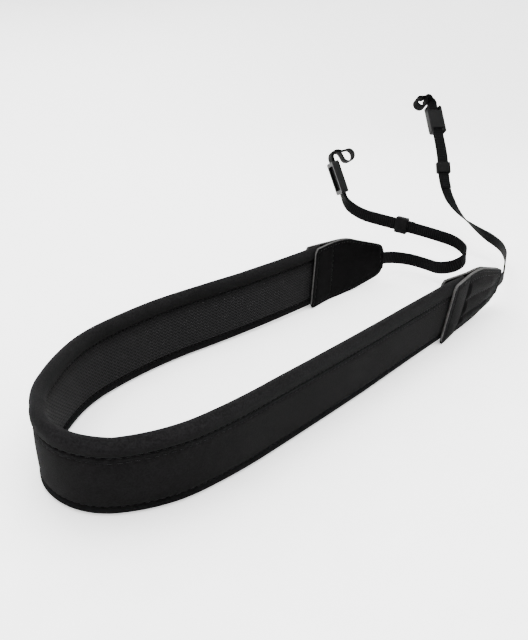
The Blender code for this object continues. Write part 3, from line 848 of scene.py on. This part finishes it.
def follow_straight(stations, length):
    """Go on straight for a length."""
    last = stations[-1]
    steps = math.ceil(length / webbing_step / 2) * 2
    for k in range(1, steps + 1):
        stations.append(last._replace(place=last.place + last.forward * length * k / steps))


def follow_run(stations, rows, length, start):
    """Go along a free run whose angles are added to those at the tab."""
    place = stations[-1].place
    for low, high in zip(rows, rows[1:]):
        span = (high.along - low.along) * length
        steps = math.ceil(span / webbing_step)
        for k in range(1, steps + 1):
            half, full = ([a + low[c] + share * (high[c] - low[c]) for c, a in enumerate(start, 1)]
                          for share in ((k - 0.5) / steps, k / steps))
            place = place + webbing_station(place, *half).forward * span / steps
            stations.append(webbing_station(place, *full))


def follow_neck(stations, neck):
    """Twist and bend the doubled webbing from the buckle towards its loop."""
    for length, twist_angle, bend_angle in neck:
        steps = math.ceil(length / webbing_step)
        twist = math.radians(twist_angle) / steps
        bend = math.radians(bend_angle) / steps
        for _ in range(steps):
            last = stations[-1]
            up = last.up * math.cos(twist) + last.side * math.sin(twist)
            side = last.side * math.cos(twist) - last.up * math.sin(twist)
            halfway = last.forward * math.cos(bend / 2) + side * math.sin(bend / 2)
            forward = last.forward * math.cos(bend) + side * math.sin(bend)
            side = side * math.cos(bend) - last.forward * math.sin(bend)
            stations.append(Station(0.0, last.place + halfway * length / steps, forward, side, up))


def open_loop(last):
    """Frames round the open loop, from the main layer over to the returning one."""
    middle = layer_pitch / 2
    swell = loop_radius - middle
    leads = []
    for k in range(loop_lead_steps + 1):
        turn = math.pi * k / loop_lead_steps
        slope = swell * math.pi / 2 * math.sin(turn) / loop_lead
        leads.append((loop_lead * k / loop_lead_steps, swell * (1 - math.cos(turn)) / 2,
                      math.atan(slope)))
    spots = [(along, -out, -angle) for along, out, angle in leads[1:]]
    for k in range(1, loop_turn_steps + 1):
        angle = -math.pi / 2 + math.pi * k / loop_turn_steps
        spots.append((loop_lead + loop_radius * math.cos(angle),
                      middle + loop_radius * math.sin(angle), angle + math.pi / 2))
    spots += [(along, layer_pitch + out, math.pi + angle) for along, out, angle in leads[-2::-1]]
    return [Station(0.0, last.place + last.forward * along + last.side * off,
                    last.forward * math.cos(angle) + last.side * math.sin(angle),
                    last.side * math.cos(angle) - last.forward * math.sin(angle), last.up)
            for along, off, angle in spots]


def webbing_section(walked):
    """Outline across the webbing, thinned between its ribs."""
    dip = rib_depth * (0.5 - 0.5 * math.cos(2 * math.pi * walked / rib_pitch))
    half = webbing_thickness / 2 - dip
    wide = webbing_width / 2 - dip * 0.8
    corner = 0.00035
    upper = [(wide - corner, half), (wide / 2, half), (0.0, half), (-wide / 2, half),
             (-wide + corner, half), (-wide + corner * 0.3, half * 0.72), (-wide, 0.0)]
    return upper + [(-across, -off) for across, off in upper]


nylon, nylon_fibre = shaded_material("ribbed_nylon", (0.0005, 0.0005, 0.0006),
                                     (0.0016, 0.0016, 0.0017), (0.48, 0.70), 0.008, 0.0004, 0.015)
nylon_along, nylon_round = surface_lines(nylon)
yarns = wave_of(nylon, nylon_round, yarn_pitch)
ribs = wave_of(nylon, nylon_along, rib_pitch, "COSINE")
tint(nylon, ranged(nylon, ribs, 0.1, 1.0, last=0.75), (0.0056, 0.0056, 0.0058))
woven = sum_of(nylon, "MULTIPLY_ADD", sum_of(nylon, "ABSOLUTE", yarns), 0.6, nylon_fibre)
raise_relief(nylon, woven, 0.6, 0.00018)

keeper_spots = {}
buckle_spots = {}
for side, route in routes.items():
    home = tab_homes[side]
    form = tab_forms[side]
    tucked = smooth_row(1 - webbing_tuck / tab_length)
    sewn = tab_point(home, form, tucked, webbing_seat, 0)
    mouth = tab_point(home, form, tab_rows[-1], webbing_seat, 0)
    leading = (mouth - sewn).normalized()
    heading = math.degrees(math.atan2(leading.y, leading.x))
    climb = math.degrees(math.asin(leading.z))
    level = webbing_station(mouth, heading, climb, 0)
    roll = math.degrees(math.atan2(home.up.dot(level.side), home.up.dot(level.up)))
    start = (heading, climb, roll)
    path = [webbing_station(sewn, *start)]
    follow_straight(path, (mouth - sewn).length)
    follow_run(path, route.first, route.first_run, start)
    keeper_start = len(path) - 1
    follow_straight(path, keeper_length)
    keeper_spots[side] = path[(keeper_start + len(path)) // 2]
    follow_run(path, route.second, route.second_run, start)
    follow_straight(path, buckle_lead)
    before_buckle = len(path)
    follow_straight(path, buckle_length)
    buckle_spots[side] = path[(before_buckle + len(path)) // 2]
    follow_straight(path, buckle_lead)
    follow_neck(path, route.neck)
    ribbon = path + open_loop(path[-1])
    back_end = keeper_start - round(route.tail / webbing_step)
    for s in reversed(path[back_end:-1]):
        ribbon.append(Station(0.0, s.place + s.side * layer_pitch, -s.forward, -s.side, s.up))
    walk = [0.0]
    for before, after in zip(ribbon, ribbon[1:]):
        walk.append(walk[-1] + (after.place - before.place).length)
    rings = [[s.place + s.up * across + s.side * off for across, off in webbing_section(walked)]
             for s, walked in zip(ribbon, walk)]
    webbing = put_down(f"{side}_ribbed_webbing", bend_sheet(rings, walk), nylon)
    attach(webbing, "root")
    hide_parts(f"{side}_webbing")

# Keepers: small bands of soft black rubber that hold the webbing's tail against its main layer.
# The left one has creased corners from being folded flat; the right one is a plain smooth band.
keeper_wall = 0.0012
keeper_play = 0.00035
keeper_corner = 0.0005
keeper_crease = 0.00025
corner_steps = 8
side_steps = 6


def keeper_loop(half_wide, half_thick, radius):
    """Round-cornered loop: places and outward directions in the plane across the webbing."""
    spots = []
    for corner in range(4):
        sign_wide = 1 if corner in (0, 3) else -1
        sign_thick = 1 if corner in (0, 1) else -1
        for k in range(corner_steps + 1):
            angle = math.radians(90 * corner + 90 * k / corner_steps)
            spots.append((sign_wide * (half_wide - radius) + radius * math.cos(angle),
                          sign_thick * (half_thick - radius) + radius * math.sin(angle),
                          math.cos(angle), math.sin(angle)))
        along_wide = corner % 2 == 0
        room = 2 * ((half_wide if along_wide else half_thick) - radius)
        wide, thick, out_wide, out_thick = spots[-1]
        for k in range(1, side_steps):
            step = room * (k / side_steps)
            spots.append((wide - step * (sign_wide if along_wide else 0),
                          thick - step * (0 if along_wide else sign_thick), out_wide, out_thick))
    return spots + spots[:1]


def keeper_wall_outline(length, wall):
    """Rounded outline of the wall: along the webbing, and outwards."""
    points = []
    radius = wall * 0.38
    steps = 4
    for corner, (end, upper) in enumerate(((1, True), (-1, True), (-1, False), (1, False))):
        for k in range(steps + 1):
            angle = math.radians(90 * corner + 90 * k / steps)
            points.append((end * (length / 2 - radius) + radius * math.cos(angle),
                           (wall - radius if upper else radius) + radius * math.sin(angle)))
    return points


rubber, rubber_fibre = shaded_material("soft_rubber", (0.0010, 0.0010, 0.0011),
                                       (0.0030, 0.0030, 0.0031), (0.45, 0.62), 0.005, 0.0006, 0.03)
raise_relief(rubber, rubber_fibre, 0.35, 0.00015)
for side, spot in keeper_spots.items():
    half_wide = webbing_width / 2 + keeper_play
    half_thick = webbing_thickness + seam_gap / 2 + keeper_play
    wall_outline = keeper_wall_outline(keeper_length, keeper_wall)
    centre = spot.place + spot.side * layer_pitch / 2
    rings = []
    for wide, thick, out_wide, out_thick in keeper_loop(half_wide, half_thick, keeper_corner):
        at_corner = abs(out_wide * out_thick) > 0.35
        proud = 1 + (keeper_crease / keeper_wall if side == "left" and at_corner else 0.0)
        rings.append([centre + spot.forward * along
                      + spot.up * (wide + out_wide * outward * proud)
                      + spot.side * (thick + out_thick * outward * proud)
                      for along, outward in wall_outline])
    lengths = [index * keeper_corner for index in range(len(rings))]
    keeper = put_down(f"{side}_rubber_keeper", bend_sheet(rings, lengths), rubber)
    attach(keeper, "root")
    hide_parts(f"{side}_keeper")

# Slider buckles: one moulding of satin black plastic for each webbing, with two side rails, an
# end bar at each end over the main layer, and a smooth plate over the returning one.
buckle_rail = 0.0022
buckle_bar = 0.0034
buckle_bar_thickness = 0.0015
buckle_plate = 0.018
buckle_side_play = 0.0005
buckle_corner = 0.0020
buckle_soft_edge = 0.00042
overcut = 0.001

satin, satin_fibre = shaded_material("satin_plastic", (0.0010, 0.0010, 0.0011),
                                     (0.0026, 0.0026, 0.0027), (0.30, 0.44), 0.010, 0.0005, 0.06)
raise_relief(satin, satin_fibre, 0.25, 0.00008)
inner_width = webbing_width + 2 * buckle_side_play
outer_width = inner_width + 2 * buckle_rail
bar_face = webbing_thickness + seam_gap / 2 + seam_gap
half_height = bar_face + buckle_bar_thickness
for side, spot in buckle_spots.items():
    body = bmesh.new()
    bmesh.ops.create_cube(body, size=1.0)
    bmesh.ops.scale(body, verts=body.verts, vec=(buckle_length, outer_width, 2 * half_height))
    corners = [edge for edge in body.edges
               if abs(edge.verts[0].co.z - edge.verts[1].co.z) > half_height]
    bmesh.ops.bevel(body, geom=corners, offset=buckle_corner, offset_type="OFFSET", segments=6,
                    profile=0.5, affect="EDGES", clamp_overlap=True, material=-1)
    buckle = put_down(f"{side}_buckle_moulding", body, satin)
    hollows = bmesh.new()
    window = buckle_length / 2 - buckle_bar
    past_end = buckle_length / 2 + overcut
    past_face = half_height + overcut
    for low_x, high_x, low_z, high_z in ((-past_end, past_end, -bar_face, bar_face),
                                         (-window, window, -past_face, 0.0),
                                         (-past_end, -buckle_plate / 2, 0.0, past_face),
                                         (buckle_plate / 2, past_end, 0.0, past_face)):
        middle = Matrix.Translation(((low_x + high_x) / 2, 0, (low_z + high_z) / 2))
        size = Matrix.Diagonal((high_x - low_x, inner_width, high_z - low_z, 1))
        bmesh.ops.create_cube(hollows, size=1.0, matrix=middle @ size)
    cutter = put_down("buckle_hollows", hollows, satin)
    cut = buckle.modifiers.new("hollows", "BOOLEAN")
    cut.operation = "DIFFERENCE"
    cut.solver = "EXACT"
    cut.use_self = True
    cut.object = cutter
    bpy.context.view_layer.update()
    cut_mesh = bpy.data.meshes.new_from_object(
        buckle.evaluated_get(bpy.context.evaluated_depsgraph_get()))
    buckle.modifiers.clear()
    buckle.data = cut_mesh
    bpy.data.objects.remove(cutter, do_unlink=True)
    axes = Matrix((spot.forward, spot.up, spot.side)).transposed().to_4x4()
    buckle.data.transform(Matrix.Translation(spot.place + spot.side * layer_pitch / 2) @ axes)
    for face in buckle.data.polygons:
        face.use_smooth = True
    soften = buckle.modifiers.new("soften", "BEVEL")
    soften.width = buckle_soft_edge
    soften.segments = 3
    soften.limit_method = "ANGLE"
    soften.angle_limit = math.radians(40)
    soften.harden_normals = True
    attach(buckle, "root")
    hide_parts(f"{side}_slider_buckle")

# Floor: a plain pale sheet that curves up far behind on all sides.
floor_reach = 3.0
floor_flat = 1.0
floor_rise = 0.55
floor_sheet = bmesh.new()
bmesh.ops.create_grid(floor_sheet, x_segments=60, y_segments=60, size=floor_reach)
for corner in floor_sheet.verts:
    beyond = max(0.0, corner.co.length - floor_flat)
    corner.co.z = floor_rise * beyond ** 2
for face in floor_sheet.faces:
    face.smooth = True
pale = shaded_material(
    "pale_floor", (0.90, 0.90, 0.90), (0.93, 0.93, 0.93), (0.75, 0.85), 0.3, 0.02)[0]
shader_of(pale).inputs["Emission Color"].default_value = (1, 1, 1, 1)
shader_of(pale).inputs["Emission Strength"].default_value = 0.6
floor = put_down("floor", floor_sheet, pale)

# Soft light from above and from both sides, and a bright even surround.
for name, place, size, power in (("overhead", (0.1, -0.1, 1.3), 1.6, 60.0),
                                 ("right_side", (1.2, -0.7, 0.9), 1.0, 14.0),
                                 ("left_side", (-1.1, 0.5, 0.9), 1.0, 18.0)):
    lamp = bpy.data.lights.new(name, "AREA")
    lamp.shape = "SQUARE"
    lamp.size = size
    lamp.energy = power
    holder = bpy.data.objects.new(name, lamp)
    bpy.context.scene.collection.objects.link(holder)
    holder.location = place
    holder.rotation_euler = Vector(place).to_track_quat("Z", "Y").to_euler()
surround = bpy.data.worlds.new("surround")
surround.use_nodes = True
glow = surround.node_tree.nodes["Background"]
glow.inputs["Color"].default_value = (1.0, 1.0, 1.0, 1)
glow.inputs["Strength"].default_value = 1.1
bpy.context.scene.world = surround

# Camera: where the photograph was taken from.
lens = bpy.data.cameras.new("camera")
lens.lens = 41.5
lens.sensor_width = 36.0
lens.clip_start = 0.01
camera = bpy.data.objects.new("camera", lens)
bpy.context.scene.collection.objects.link(camera)
camera.location = (0.2857, -0.4013, 0.190)
camera.rotation_euler = (math.radians(68.5), 0.0, math.radians(41.0))
bpy.context.scene.camera = camera
